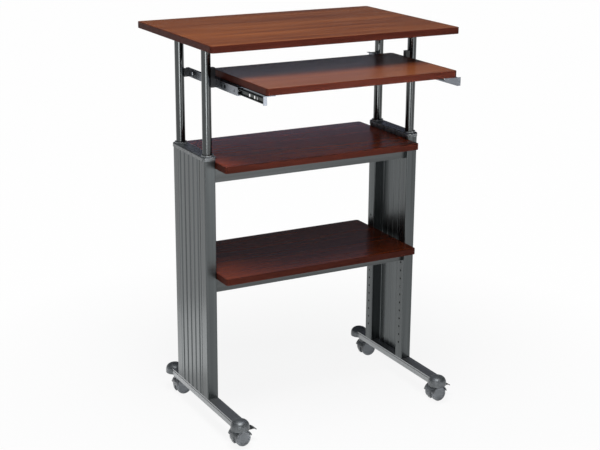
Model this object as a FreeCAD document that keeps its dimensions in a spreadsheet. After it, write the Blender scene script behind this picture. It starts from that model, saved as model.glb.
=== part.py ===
import FreeCAD, Part
import math
import os
import re
import Sketcher

# Standing desk on casters: a work surface and a pull-out keyboard tray on four
# telescoping posts, two legs with two shelves between them, two foot bars.
# Millimetres. The origin lies on the floor at the middle of the four casters,
# +Z is up, the user stands at -Y and the user's right hand is at +X.

SIZES = {
    # Work surface
    "top_width": 749.0,
    "top_depth": 494.0,
    "top_thickness": 18.0,
    "top_surface": 1093.0,
    "top_set_back": 6.0,
    "board_corner": 9.0,
    "band_wall": 2.0,
    "band_round": 1.2,
    # Posts and the plates that carry the work surface
    "side_overhang": 54.5,
    "leg_centre": 54.0,
    "post_pitch": 175.0,
    "post_rise": 329.5,
    "post_diameter": 25.4,
    "post_wall": 1.5,
    "plate_width": 48.0,
    "plate_thickness": 4.0,
    "plate_overhang": 30.0,
    "plate_corner": 6.0,
    "plate_screw_inset": 9.0,
    "plate_screw_grip": 12.0,
    # Columns of the legs
    "column_width": 32.0,
    "column_depth": 35.0,
    "column_corner": 3.0,
    "bore_diameter": 29.0,
    "lock_hole_diameter": 6.0,
    "lock_pitch": 25.4,
    "lock_holes": 15,
    "lowest_lock_hole": 126.0,
    "lock_step_count": 7,
    # Fluted side panels between the columns
    "panel_thickness": 8.0,
    "panel_seam": 0.2,
    "flute_count": 5,
    "flute_width": 9.0,
    "flute_depth": 4.0,
    "inner_flute_width": 3.0,
    "inner_flute_depth": 1.5,
    # Moulded caps on the legs
    "cap_lip": 4.0,
    "cap_thickness": 11.0,
    "cap_corner": 14.0,
    "cap_round": 3.0,
    "cap_skirt": 26.0,
    "cap_skirt_wall": 3.0,
    "collar_wall": 4.0,
    "collar_height": 4.0,
    # Fits between posts, bushes and columns
    "slide_fit": 0.05,
    "post_room": 0.5,
    "bush_length": 40.0,
    "plug_length": 24.0,
    "spigot_length": 20.0,
    "button_diameter": 5.2,
    "button_length": 9.0,
    "button_bore": 12.0,
    "button_inset": 0.2,
    "base_plug_length": 20.0,
    # Keyboard tray
    "tray_side_gap": 37.0,
    "tray_depth": 325.0,
    "tray_thickness": 18.0,
    "tray_drop": 92.5,
    "tray_reach": 367.5,
    # Telescopic slides
    "angle_wall": 2.0,
    "angle_width": 26.0,
    "angle_drop": 21.0,
    "angle_tab": 8.0,
    "channel_height": 22.0,
    "channel_width": 9.0,
    "channel_wall": 1.5,
    "channel_gap": 0.5,
    "channel_front_reach": 225.0,
    "channel_rear_reach": 102.0,
    "runner_length": 288.0,
    "runner_width": 6.5,
    "runner_wall": 1.5,
    "ball_diameter": 2.4,
    "ball_count": 5,
    "ball_pitch": 14.0,
    "cage_place": 45.0,
    "cage_width": 4.0,
    "cage_wall": 0.8,
    "cage_margin": 4.0,
    "ball_fit": 0.05,
    "cutout_round": 10.0,
    "cutout_slot_width": 8.0,
    "cutout_slot_height": 9.0,
    "runner_round_place": 91.0,
    "runner_slot_place": 63.0,
    "channel_round_place": 76.0,
    "channel_slot_place": 97.0,
    "channel_stop_place": 20.0,
    "window_height": 13.0,
    "window_past_round": 13.0,
    # Blocks that hold the slide channels to the posts
    "block_depth": 12.0,
    "block_wrap": 3.7,
    "block_head_depth": 14.0,
    "block_head_rise": 31.0,
    "block_head_gap": 11.0,
    # Shelves and the rails under them
    "shelf_front_reach": 167.0,
    "shelf_rear_reach": 164.0,
    "shelf_thickness": 18.0,
    "shelf_gap": 0.5,
    "middle_shelf_drop": 5.5,
    "lower_shelf_surface": 446.0,
    "rail_height": 41.0,
    "rail_depth": 20.0,
    "rail_wall": 2.0,
    "rail_offset": 4.0,
    "rail_end_wall": 2.5,
    "rail_screw_offset": 10.0,
    "rail_screw_pitch": 20.0,
    "rail_screw_grip": 3.0,
    "shelf_screw_inset": 95.0,
    "shelf_screw_grip": 11.0,
    # Screws
    "screw_diameter": 3.6,
    "screw_head_diameter": 7.2,
    "screw_head_height": 1.6,
    "screw_fit": 0.05,
    "bolt_diameter": 8.0,
    "bolt_head_diameter": 12.0,
    "bolt_head_height": 5.5,
    "bolt_grip": 14.0,
    "bolt_access_diameter": 14.0,
    # Foot bars and their end caps
    "foot_width": 32.0,
    "foot_thickness": 20.0,
    "foot_top": 77.0,
    "foot_wall": 2.0,
    "foot_cap_place": 222.0,
    "foot_past_cap": 6.0,
    "foot_groove": 1.2,
    "foot_groove_height": 2.5,
    "foot_groove_place": 3.5,
    "foot_cap_diameter": 52.0,
    "foot_cap_above": 7.0,
    "foot_cap_tongue": 15.0,
    "foot_cap_dome": 18.0,
    "foot_cap_fit": 0.1,
    # Casters
    "caster_pitch": 396.0,
    "caster_swing": 4.0,
    "caster_trail": 12.0,
    "stem_diameter": 8.0,
    "stem_bottom": 32.0,
    "stem_nut_width": 13.0,
    "stem_nut_height": 6.5,
    "stem_past_nut": 2.0,
    "wheel_diameter": 44.0,
    "wheel_width": 16.5,
    "wheel_gap": 12.0,
    "wheel_round": 4.0,
    "hub_dish_diameter": 31.0,
    "hub_dish_depth": 1.0,
    "axle_diameter": 6.0,
    "axle_inset": 2.0,
    "axle_fit": 0.06,
    "hood_wall": 2.5,
    "hood_room": 1.0,
    "hood_skirt": 6.0,
    "hood_web_gap": 0.5,
    "hood_web_bottom": 8.0,
    "hood_below_foot": 0.5,
    "boss_diameter": 11.5,
    "boss_bottom": 30.0,
    "swivel_diameter": 24.0,
    "lever_pivot_out": 25.0,
    "lever_pivot_up": 19.0,
    "lever_length": 15.4,
    "lever_width": 22.0,
    "lever_thickness": 3.0,
    "lever_droop": 5.0,
    "lever_root": 5.6,
    "lug_radius": 4.5,
    "lug_width": 10.0,
    "cheek_gap": 0.3,
    "cheek_wall": 3.0,
    "cheek_radius": 3.2,
    "pin_diameter": 3.0,
}

# Sizes that follow from the ones above
FOLLOWING = {
    "leg_reach": "top_width / 2 - side_overhang",
    "top_centre": "leg_centre + top_set_back",
    "column_top": "top_surface - post_rise",
    "tray_width": "2 * (leg_reach - tray_side_gap)",
    "tray_surface": "top_surface - tray_drop",
    "tray_front": "leg_centre - tray_reach",
    "channel_front": "leg_centre - channel_front_reach",
    "channel_rear": "leg_centre + channel_rear_reach",
    "cage_front": "channel_front + cage_place",
    "shelf_front": "leg_centre - shelf_front_reach",
    "shelf_rear": "leg_centre + shelf_rear_reach",
    "middle_shelf_surface": "column_top - middle_shelf_drop",
    "shelf_screw_place": "leg_reach - shelf_screw_inset",
}

SIDES = {"left": -1, "right": 1}
ENDS = {"front": -1, "rear": 1}
ORIGIN_PLANES = {"x": "YZ_Plane", "y": "XZ_Plane", "z": "XY_Plane"}
AXIS_TURNS = {
    "x": FreeCAD.Rotation(FreeCAD.Vector(0, 1, 0), 90),
    "y": FreeCAD.Rotation(FreeCAD.Vector(1, 0, 0), -90),
    "z": FreeCAD.Rotation(),
}
SIZE_NAME = re.compile(r"[a-z_]+")
TOUCHING = 0.001

doc = FreeCAD.newDocument("standing_desk")
sheet = doc.addObject("Spreadsheet::Sheet", "Sizes")
cells = {alias: str(size) for alias, size in SIZES.items()}
cells.update({alias: "=" + text for alias, text in FOLLOWING.items()})
for row, (alias, cell) in enumerate(cells.items(), start=1):
    sheet.set(f"A{row}", alias)
    sheet.set(f"B{row}", cell)
    sheet.setAlias(f"B{row}", alias)
doc.recompute()

nodes = {}

# Helpers


def formula(text):
    """Point every size named in a formula at its cell in the sheet."""
    return SIZE_NAME.sub(lambda word: f"Sizes.{word[0]}" if word[0] in cells else word[0], str(text))


def bind(item, **formulas):
    """Bind properties to formulas; a double underscore stands for a dot."""
    for name, text in formulas.items():
        item.setExpression(name.replace("__", "."), formula(text))


def keep(label, item):
    """Register an item as the sub-part called label."""
    item.Label = label
    nodes[label] = item
    return item


def new_body(name):
    return doc.addObject("PartDesign::Body", name)


def polygon(*corners):
    """A closed outline through corners given as pairs of formulas."""

    def draw(sketch):
        first = sketch.GeometryCount
        count = len(corners)
        rough = []
        for step in range(count):
            turn = 2 * math.pi * step / count
            rough.append(FreeCAD.Vector(math.cos(turn), math.sin(turn), 0))
        lines = [Part.LineSegment(rough[step], rough[(step + 1) % count]) for step in range(count)]
        sketch.addGeometry(lines)
        rules = []
        for step in range(count):
            following = first + (step + 1) % count
            rules.append(Sketcher.Constraint("Coincident", first + step, 2, following, 1))
        sketch.addConstraint(rules)
        for step, (across, along) in enumerate(corners):
            start = rough[step]
            for kind, text, value in (("DistanceX", across, start.x), ("DistanceY", along, start.y)):
                rule = sketch.addConstraint(Sketcher.Constraint(kind, -1, 1, first + step, 1, value))
                sketch.setExpression(f"Constraints[{rule}]", formula(text))

    return draw


def rectangle(low_across, low_along, high_across, high_along):
    return polygon(
        (low_across, low_along), (high_across, low_along), (high_across, high_along), (low_across, high_along)
    )


def circle(across, along, diameter):
    """A circle at a place given as a pair of formulas."""

    def draw(sketch):
        ring = sketch.addGeometry(Part.Circle(FreeCAD.Vector(0, 0, 0), FreeCAD.Vector(0, 0, 1), 1))
        rules = (
            (Sketcher.Constraint("DistanceX", -1, 1, ring, 3, 0.0), across),
            (Sketcher.Constraint("DistanceY", -1, 1, ring, 3, 0.0), along),
            (Sketcher.Constraint("Diameter", ring, 2.0), diameter),
        )
        for rule, text in rules:
            number = sketch.addConstraint(rule)
            sketch.setExpression(f"Constraints[{number}]", formula(text))

    return draw


def sketch_on(body, name, axis, level, outlines):
    """A sketch square to an axis, at a level along it."""
    plane = next(item for item in body.Origin.OriginFeatures if item.Role == ORIGIN_PLANES[axis])
    sketch = body.newObject("Sketcher::SketchObject", name + "_sketch")
    sketch.AttachmentSupport = [(plane, "")]
    sketch.MapMode = "FlatFace"
    sign = "-1" if axis == "y" else "1"
    bind(sketch, AttachmentOffset__Base__z=f"{sign} * ({level})")
    for outline in outlines:
        outline(sketch)
    return sketch


def pad(body, name, axis, low, high, *outlines):
    """Add outlines, drawn square to an axis, from low to high along it."""
    level = high if axis == "y" else low
    feature = body.newObject("PartDesign::Pad", name)
    feature.Profile = sketch_on(body, name, axis, level, outlines)
    bind(feature, Length=f"({high}) - ({low})")
    body.Tip = feature
    return feature


def pocket(body, name, axis, low, high, *outlines):
    """Cut outlines, drawn square to an axis, from low to high along it."""
    level = low if axis == "y" else high
    feature = body.newObject("PartDesign::Pocket", name)
    feature.Profile = sketch_on(body, name, axis, level, outlines)
    bind(feature, Length=f"({high}) - ({low})")
    body.Tip = feature
    return feature


def round_edges(body, name, radius, chosen):
    """Round the edges of the body so far that the test picks out."""
    doc.recompute()
    base = body.Tip
    numbers = [number for number, edge in enumerate(base.Shape.Edges, start=1) if chosen(edge)]
    feature = body.newObject("PartDesign::Fillet", name)
    feature.Base = (base, [f"Edge{number}" for number in numbers])
    bind(feature, Radius=radius)
    body.Tip = feature
    return feature


def upright(edge):
    """True for a straight edge along Z."""
    if edge.Curve.TypeId != "Part::GeomLine":
        return False
    return abs(edge.tangentAt(edge.FirstParameter).z) > 1 - TOUCHING


def circular(edge):
    """True for an edge that is a circle or an arc."""
    return edge.Curve.TypeId == "Part::GeomCircle"


def level_with(top):
    """A picker of the edges that lie at the height top."""
    return lambda edge: edge.BoundBox.ZMin > top - TOUCHING


def cylinder(name, axis, low, high, across, along, diameter):
    """A cylinder along an axis; across and along place it on the other two axes in order."""
    item = doc.addObject("Part::Cylinder", name)
    item.Placement.Rotation = AXIS_TURNS[axis]
    places = {"x": (low, across, along), "y": (across, low, along), "z": (across, along, low)}[axis]
    bind(item, Radius=f"({diameter}) / 2", Height=f"({high}) - ({low})")
    bind(item, Placement__Base__x=places[0], Placement__Base__y=places[1], Placement__Base__z=places[2])
    return item


def fuse(name, *items):
    joined = doc.addObject("Part::MultiFuse", name)
    joined.Shapes = list(items)
    return joined


def cut(name, base, *tools):
    trimmed = doc.addObject("Part::Cut", name)
    trimmed.Base = base
    trimmed.Tool = tools[0] if len(tools) == 1 else fuse(name + "_tool", *tools)
    return trimmed


def group(name, items):
    """Separate solids that share one sub-part."""
    gathered = doc.addObject("Part::Compound", name)
    gathered.Links = list(items)
    return gathered


def span(side, inner, outer):
    """Low and high X of a stretch given by its distances from the middle plane."""
    if side > 0:
        return inner, outer
    return f"-1 * ({outer})", f"-1 * ({inner})"


def mirrored(side, place):
    """X of a place given by its distance from the middle plane."""
    return f"{side} * ({place})"


def in_order(sign, near, far):
    """Low and high of a stretch whose near and far ends carry the given sign."""
    return (near, far) if sign > 0 else (far, near)


def post_y(end):
    return f"(leg_centre + {end} * post_pitch / 2)"


def leg_posts():
    """Each post's name, side, end, and its formulas for X and Y."""
    for end_name, end in ENDS.items():
        for side_name, side in SIDES.items():
            yield f"{end_name}_{side_name}", side, end, mirrored(side, "leg_reach"), post_y(end)


# Shared places
POST_INSIDE = "(post_diameter - 2 * post_wall)"
TOP_BOTTOM = "(top_surface - top_thickness)"
PLATE_BOTTOM = f"({TOP_BOTTOM} - plate_thickness)"
LOCK_HEIGHT = "(lowest_lock_hole + lock_step_count * lock_pitch)"
PLUG_TOP = f"({LOCK_HEIGHT} + plug_length / 2)"
PLUG_BOTTOM = f"({LOCK_HEIGHT} - plug_length / 2)"
COLUMN_INNER = "(leg_reach - column_width / 2)"
COLUMN_OUTER = "(leg_reach + column_width / 2)"
TRAY_BOTTOM = "(tray_surface - tray_thickness)"
TRAY_REAR = "(tray_front + tray_depth)"
ANGLE_OUTER = "(tray_width / 2 + angle_wall + channel_gap)"
ANGLE_INNER = f"({ANGLE_OUTER} - angle_wall)"
CHANNEL_INNER = f"({ANGLE_OUTER} + channel_gap)"
CHANNEL_OUTER = f"({CHANNEL_INNER} + channel_width)"
CHANNEL_TOP = f"({TRAY_BOTTOM} - angle_wall)"
CHANNEL_BOTTOM = f"({CHANNEL_TOP} - channel_height)"
SLIDE_MIDDLE = f"({CHANNEL_TOP} - channel_height / 2)"
BALL_ROOM = "(ball_diameter + 2 * ball_fit)"
RUNNER_TOP = f"({CHANNEL_TOP} - channel_wall - {BALL_ROOM})"
RUNNER_BOTTOM = f"({CHANNEL_BOTTOM} + channel_wall + {BALL_ROOM})"
RUNNER_FRONT = "(tray_front + angle_wall)"
RUNNER_REAR = f"({RUNNER_FRONT} + runner_length)"
CAP_TOP = "(column_top + cap_thickness)"
FOOT_BOTTOM = "(foot_top - foot_thickness)"
FOOT_REACH = "(foot_cap_place + foot_past_cap)"
SCREW_HOLE = "(screw_diameter + 2 * screw_fit)"
SHELF_HALF = f"({COLUMN_INNER} - shelf_gap)"
SHELVES = {"middle": "middle_shelf_surface", "lower": "lower_shelf_surface"}

# Screws and bolts


def screw(name, axis, seat, direction, across, along, grip):
    """A screw whose head sits on seat and whose shank points along direction."""
    head_far = f"({seat}) - {direction} * screw_head_height"
    tip = f"({seat}) + {direction} * ({grip})"
    ends = (head_far, seat, tip) if direction > 0 else (tip, seat, head_far)
    first = "screw_head_diameter" if direction > 0 else "screw_diameter"
    second = "screw_diameter" if direction > 0 else "screw_head_diameter"
    lower = cylinder(name + "_lower", axis, ends[0], ends[1], across, along, first)
    upper = cylinder(name + "_upper", axis, ends[1], ends[2], across, along, second)
    return fuse(name, lower, upper)


def plate_screw_places():
    for side in SIDES.values():
        for out in (-1, 1):
            for end in ENDS.values():
                across = f"{side} * (leg_reach + {out} * (plate_width / 2 - plate_screw_inset))"
                along = f"{post_y(end)} + {end} * (plate_overhang - plate_screw_inset)"
                yield across, along


def tray_screw_places():
    for side in SIDES.values():
        for share in (1, 3, 5, 7):
            across = mirrored(side, f"{ANGLE_OUTER} - angle_width / 2 - angle_wall")
            along = f"tray_front + {share} * tray_depth / 8"
            yield across, along


def shelf_screw_places():
    for end in ENDS.values():
        for side in SIDES.values():
            along = f"{post_y(end)} + {end} * (rail_offset - rail_depth / 2)"
            yield mirrored(side, "shelf_screw_place"), along


# Boards with an edge band all round


def board(label, sketch_box, bottom, surface, pilot_places, pilot_grip):
    """A board and its edge band; pilot holes come in from below."""
    low_x, low_y, high_x, high_y = sketch_box
    inner = (f"{low_x} + band_wall", f"{low_y} + band_wall", f"{high_x} - band_wall", f"{high_y} - band_wall")
    core = new_body(label)
    pad(core, label + "_core", "z", bottom, surface, rectangle(*inner))
    round_edges(core, label + "_corners", "board_corner - band_wall", upright)
    pilots = [circle(across, along, SCREW_HOLE) for across, along in pilot_places]
    pocket(core, label + "_pilots", "z", bottom, f"({bottom}) + ({pilot_grip}) + screw_head_height", *pilots)
    keep(label, core)
    band = new_body(label + "_band")
    pad(band, label + "_strip", "z", bottom, surface, rectangle(*sketch_box))
    round_edges(band, label + "_outer_corners", "board_corner", upright)
    round_edges(band, label + "_rim", "band_round", lambda edge: edge.BoundBox.ZLength < TOUCHING)
    opening = new_body(label + "_opening")
    pad(opening, label + "_opening_core", "z", f"({bottom}) - band_wall", f"({surface}) + band_wall",
        rectangle(*inner))
    round_edges(opening, label + "_opening_corners", "board_corner - band_wall", upright)
    return cut(label + "_edge", band, opening)


def boards():
    top_front = "top_centre - top_depth / 2"
    top_box = ("-1 * top_width / 2", top_front, "top_width / 2", f"{top_front} + top_depth")
    edge = board("desk_top", top_box, TOP_BOTTOM, "top_surface", plate_screw_places(), "plate_screw_grip")
    keep("desk_top_band", edge)
    tray_box = ("-1 * tray_width / 2", "tray_front", "tray_width / 2", TRAY_REAR)
    places = tray_screw_places()
    edge = board("keyboard_tray", tray_box, TRAY_BOTTOM, "tray_surface", places, "shelf_screw_grip")
    keep("keyboard_tray_band", edge)
    edges = []
    for name, surface in SHELVES.items():
        shelf_box = (f"-1 * {SHELF_HALF}", "shelf_front", SHELF_HALF, "shelf_rear")
        bottom = f"({surface} - shelf_thickness)"
        places = shelf_screw_places()
        edges.append(board(f"{name}_shelf", shelf_box, bottom, surface, places, "shelf_screw_grip"))
    keep("shelf_bands", group("shelf_edges", edges))


# Posts, their plates, plugs and lock buttons


def posts():
    plugs = []
    for name, side, end, across, along in leg_posts():
        outside = cylinder(name + "_tube", "z", PLUG_TOP, PLATE_BOTTOM, across, along, "post_diameter")
        inside = cylinder(name + "_tube_bore", "z", PLUG_TOP, PLATE_BOTTOM, across, along, POST_INSIDE)
        hole_low, hole_high = span(side, "leg_reach - post_diameter", "leg_reach")
        hole = cylinder(name + "_slide_hole", "x", hole_low, hole_high, along, SLIDE_MIDDLE, SCREW_HOLE)
        keep(f"{name}_post", cut(name + "_post_solid", outside, inside, hole))
        collar_size = "bore_diameter - 2 * slide_fit"
        collar = cylinder(name + "_plug_collar", "z", PLUG_BOTTOM, PLUG_TOP, across, along, collar_size)
        spigot_top = f"{PLUG_TOP} + spigot_length"
        spigot_size = f"{POST_INSIDE} - 2 * slide_fit"
        spigot = cylinder(name + "_plug_spigot", "z", PLUG_TOP, spigot_top, across, along, spigot_size)
        plug = fuse(name + "_plug_solid", collar, spigot)
        bore_face = "leg_reach - bore_diameter / 2"
        bore_low, bore_high = span(side, bore_face, f"{bore_face} + button_bore")
        button_room = "button_diameter + 2 * slide_fit"
        bore = cylinder(name + "_button_bore", "x", bore_low, bore_high, along, LOCK_HEIGHT, button_room)
        plugs.append(cut(name + "_plug", plug, bore))
        tip = f"{bore_face} + slide_fit + button_inset"
        low, high = span(side, tip, f"{tip} + button_length")
        button = cylinder(name + "_button", "x", low, high, along, LOCK_HEIGHT, "button_diameter")
        keep(f"{name}_lock_button", button)
    keep("post_plugs", group("post_plug_set", plugs))


def post_plates():
    screws = []
    for name, side in SIDES.items():
        body = new_body(name + "_plate")
        low, high = span(side, "leg_reach - plate_width / 2", "leg_reach + plate_width / 2")
        front = f"{post_y(-1)} - plate_overhang"
        rear = f"{post_y(1)} + plate_overhang"
        pad(body, name + "_plate_sheet", "z", PLATE_BOTTOM, TOP_BOTTOM, rectangle(low, front, high, rear))
        round_edges(body, name + "_plate_corners", "plate_corner", upright)
        places = [place for place in plate_screw_places() if place[0].startswith(f"{side} ")]
        holes = [circle(across, along, SCREW_HOLE) for across, along in places]
        pocket(body, name + "_plate_holes", "z", PLATE_BOTTOM, TOP_BOTTOM, *holes)
        keep(f"{name}_post_plate", body)
    for number, (across, along) in enumerate(plate_screw_places()):
        grip = "plate_thickness + plate_screw_grip"
        screws.append(screw(f"plate_screw_{number}", "z", PLATE_BOTTOM, 1, across, along, grip))
    keep("plate_screws", group("plate_screw_set", screws))


# Legs


def columns():
    for name, side, end, across, along in leg_posts():
        body = new_body(name + "_column")
        low, high = span(side, COLUMN_INNER, COLUMN_OUTER)
        front = f"{along} - column_depth / 2"
        rear = f"{along} + column_depth / 2"
        pad(body, name + "_column_tube", "z", "foot_top", "column_top", rectangle(low, front, high, rear))
        round_edges(body, name + "_column_corners", "column_corner", upright)
        bore = circle(across, along, "bore_diameter")
        pocket(body, name + "_column_bore", "z", "foot_top", "column_top", bore)
        hole_low, hole_high = span(side, COLUMN_INNER, "leg_reach")
        pilot_end = f"{COLUMN_INNER} + rail_screw_grip + screw_head_height / 2"
        pilot_low, pilot_high = span(side, COLUMN_INNER, pilot_end)
        pilots = []
        for place_y, place_z in rail_screw_places(end):
            pilots.append(circle(place_y, place_z, SCREW_HOLE))
        pocket(body, name + "_rail_pilots", "x", pilot_low, pilot_high, *pilots)
        first = circle(along, "lowest_lock_hole", "lock_hole_diameter")
        hole = pocket(body, name + "_lock_hole", "x", hole_low, hole_high, first)
        row = body.newObject("PartDesign::LinearPattern", name + "_lock_row")
        row.Originals = [hole]
        row.Direction = (next(item for item in body.Origin.OriginFeatures if item.Role == "Z_Axis"), [""])
        bind(row, Length="(lock_holes - 1) * lock_pitch", Occurrences="lock_holes")
        body.Tip = row
        keep(f"{name}_column", body)


def side_panels():
    for name, side in SIDES.items():
        body = new_body(name + "_panel")
        front = f"{post_y(-1)} + column_depth / 2 + panel_seam"
        rear = f"{post_y(1)} - column_depth / 2 - panel_seam"
        outer = mirrored(side, COLUMN_OUTER)
        inner = mirrored(side, f"{COLUMN_OUTER} - panel_thickness")
        groove = mirrored(side, f"{COLUMN_OUTER} - flute_depth")
        inner_groove = mirrored(side, f"{COLUMN_OUTER} - panel_thickness + inner_flute_depth")
        flutes = int(SIZES["flute_count"])
        shares = [f"{2 * step + 1} / {2 * flutes}" for step in range(flutes)]
        middles = [f"{front} + ({rear} - ({front})) * {share}" for share in shares]
        outline = [(outer, front)]
        for middle in middles:
            outline.append((outer, f"{middle} - flute_width / 2"))
            outline.append((groove, f"{middle} - flute_width / 6"))
            outline.append((groove, f"{middle} + flute_width / 6"))
            outline.append((outer, f"{middle} + flute_width / 2"))
        outline.extend([(outer, rear), (inner, rear)])
        for middle in reversed(middles):
            outline.append((inner, f"{middle} + inner_flute_width / 2"))
            outline.append((inner_groove, f"{middle}"))
            outline.append((inner, f"{middle} - inner_flute_width / 2"))
        outline.append((inner, front))
        pad(body, name + "_panel_sheet", "z", "foot_top", "column_top", polygon(*outline))
        keep(f"{name}_side_panel", body)


def leg_caps():
    bushes = []
    for name, side in SIDES.items():
        body = new_body(name + "_cap")
        low, high = span(side, f"{COLUMN_INNER} - cap_lip", f"{COLUMN_OUTER} + cap_lip")
        front = f"{post_y(-1)} - column_depth / 2 - cap_lip"
        rear = f"{post_y(1)} + column_depth / 2 + cap_lip"
        pad(body, name + "_cap_plate", "z", "column_top", CAP_TOP, rectangle(low, front, high, rear))
        round_edges(body, name + "_cap_corners", "cap_corner", upright)
        doc.recompute()
        top = body.Tip.Shape.BoundBox.ZMax
        round_edges(body, name + "_cap_rim", "cap_round", level_with(top))
        across = mirrored(side, "leg_reach")
        collar_size = "post_diameter + 2 * (post_room + collar_wall)"
        rings = [circle(across, post_y(end), collar_size) for end in ENDS.values()]
        collar_top = f"{CAP_TOP} + collar_height"
        pad(body, name + "_cap_collars", "z", "column_top + cap_thickness / 2", collar_top, *rings)
        skirt_low, skirt_high = span(side, COLUMN_INNER, f"{COLUMN_INNER} + cap_skirt_wall")
        skirt_front = f"{post_y(-1)} + column_depth / 2 + panel_seam"
        skirt_rear = f"{post_y(1)} - column_depth / 2 - panel_seam"
        skirt = rectangle(skirt_low, skirt_front, skirt_high, skirt_rear)
        pad(body, name + "_cap_skirt", "z", "column_top - cap_skirt", "column_top + cap_thickness / 2", skirt)
        holes = [circle(across, post_y(end), "post_diameter + 2 * post_room") for end in ENDS.values()]
        pocket(body, name + "_cap_holes", "z", "column_top", collar_top, *holes)
        keep(f"{name}_leg_cap", body)
    for name, side, end, across, along in leg_posts():
        outside = cylinder(name + "_bush_out", "z", "column_top - bush_length", "column_top", across, along,
                           "bore_diameter - 2 * slide_fit")
        inside = cylinder(name + "_bush_in", "z", "column_top - bush_length", "column_top", across, along,
                          "post_diameter + 2 * slide_fit")
        bushes.append(cut(name + "_bush", outside, inside))
    keep("post_bushes", group("post_bush_set", bushes))


def column_bases():
    plugs = []
    bolts = []
    for name, side, end, across, along in leg_posts():
        plug_top = "foot_top + base_plug_length"
        plug_size = "bore_diameter - 2 * slide_fit"
        solid = cylinder(name + "_base_solid", "z", "foot_top", plug_top, across, along, plug_size)
        thread_size = "bolt_diameter + 2 * screw_fit"
        thread = cylinder(name + "_base_thread", "z", "foot_top", plug_top, across, along, thread_size)
        plugs.append(cut(name + "_base_plug", solid, thread))
        seat = "(foot_top - foot_wall)"
        head = cylinder(name + "_bolt_head", "z", f"{seat} - bolt_head_height", seat, across, along,
                        "bolt_head_diameter")
        bolt_end = "foot_top + bolt_grip"
        shank = cylinder(name + "_bolt_shank", "z", seat, bolt_end, across, along, "bolt_diameter")
        bolts.append(fuse(name + "_leg_bolt", head, shank))
    keep("column_base_plugs", group("column_base_plug_set", plugs))
    keep("leg_bolts", group("leg_bolt_set", bolts))


# Shelf rails


def rail_screw_places(end):
    """Y and Z of the screws that hold the rails of one end to the columns."""
    for surface in SHELVES.values():
        middle = f"({surface} - shelf_thickness - rail_height / 2)"
        for step in (-1, 1):
            yield f"{post_y(end)} - {end} * rail_screw_offset", f"{middle} + {step} * rail_screw_pitch / 2"


def shelf_rails():
    screws = []
    for shelf_name, surface in SHELVES.items():
        top = f"({surface} - shelf_thickness)"
        bottom = f"({top} - rail_height)"
        for end_name, end in ENDS.items():
            name = f"{shelf_name}_{end_name}_rail"
            face = f"({post_y(end)} + {end} * rail_offset)"
            back = f"({face} - {end} * rail_depth)"
            web = f"({face} - {end} * rail_wall)"
            profile = polygon(
                (face, bottom), (back, bottom), (back, f"{bottom} + rail_wall"),
                (web, f"{bottom} + rail_wall"), (web, f"{top} - rail_wall"),
                (back, f"{top} - rail_wall"), (back, top), (face, top)
            )
            body = new_body(name)
            pad(body, name + "_channel", "x", f"-1 * {COLUMN_INNER}", COLUMN_INNER, profile)
            low_y, high_y = (face, back) if end < 0 else (back, face)
            plate = rectangle(low_y, bottom, high_y, top)
            for side_name, side in SIDES.items():
                low, high = span(side, f"{COLUMN_INNER} - rail_end_wall", COLUMN_INNER)
                pad(body, f"{name}_{side_name}_plate", "x", low, high, plate)
            holes = []
            for place_y, place_z in rail_screw_places(end):
                if surface in place_z:
                    holes.append(circle(place_y, place_z, SCREW_HOLE))
            for side_name, side in SIDES.items():
                low, high = span(side, f"{COLUMN_INNER} - rail_end_wall", COLUMN_INNER)
                pocket(body, f"{name}_{side_name}_holes", "x", low, high, *holes)
            flange_holes = []
            for across, along in shelf_screw_places():
                if post_y(end) in along:
                    flange_holes.append(circle(across, along, SCREW_HOLE))
                    title = f"{name}_shelf_screw_{len(screws)}"
                    grip = "rail_wall + shelf_screw_grip"
                    screws.append(screw(title, "z", f"{top} - rail_wall", 1, across, along, grip))
            pocket(body, f"{name}_flange_holes", "z", f"{top} - rail_wall", top, *flange_holes)
            keep(name, body)
            for place_y, place_z in rail_screw_places(end):
                if surface not in place_z:
                    continue
                for side in SIDES.values():
                    seat = mirrored(side, f"{COLUMN_INNER} - rail_end_wall")
                    screws.append(screw(f"{name}_end_screw_{len(screws)}", "x", seat, side, place_y, place_z,
                                        "rail_end_wall + rail_screw_grip"))
    keep("shelf_screws", group("shelf_screw_set", screws))


# Keyboard tray slides


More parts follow.
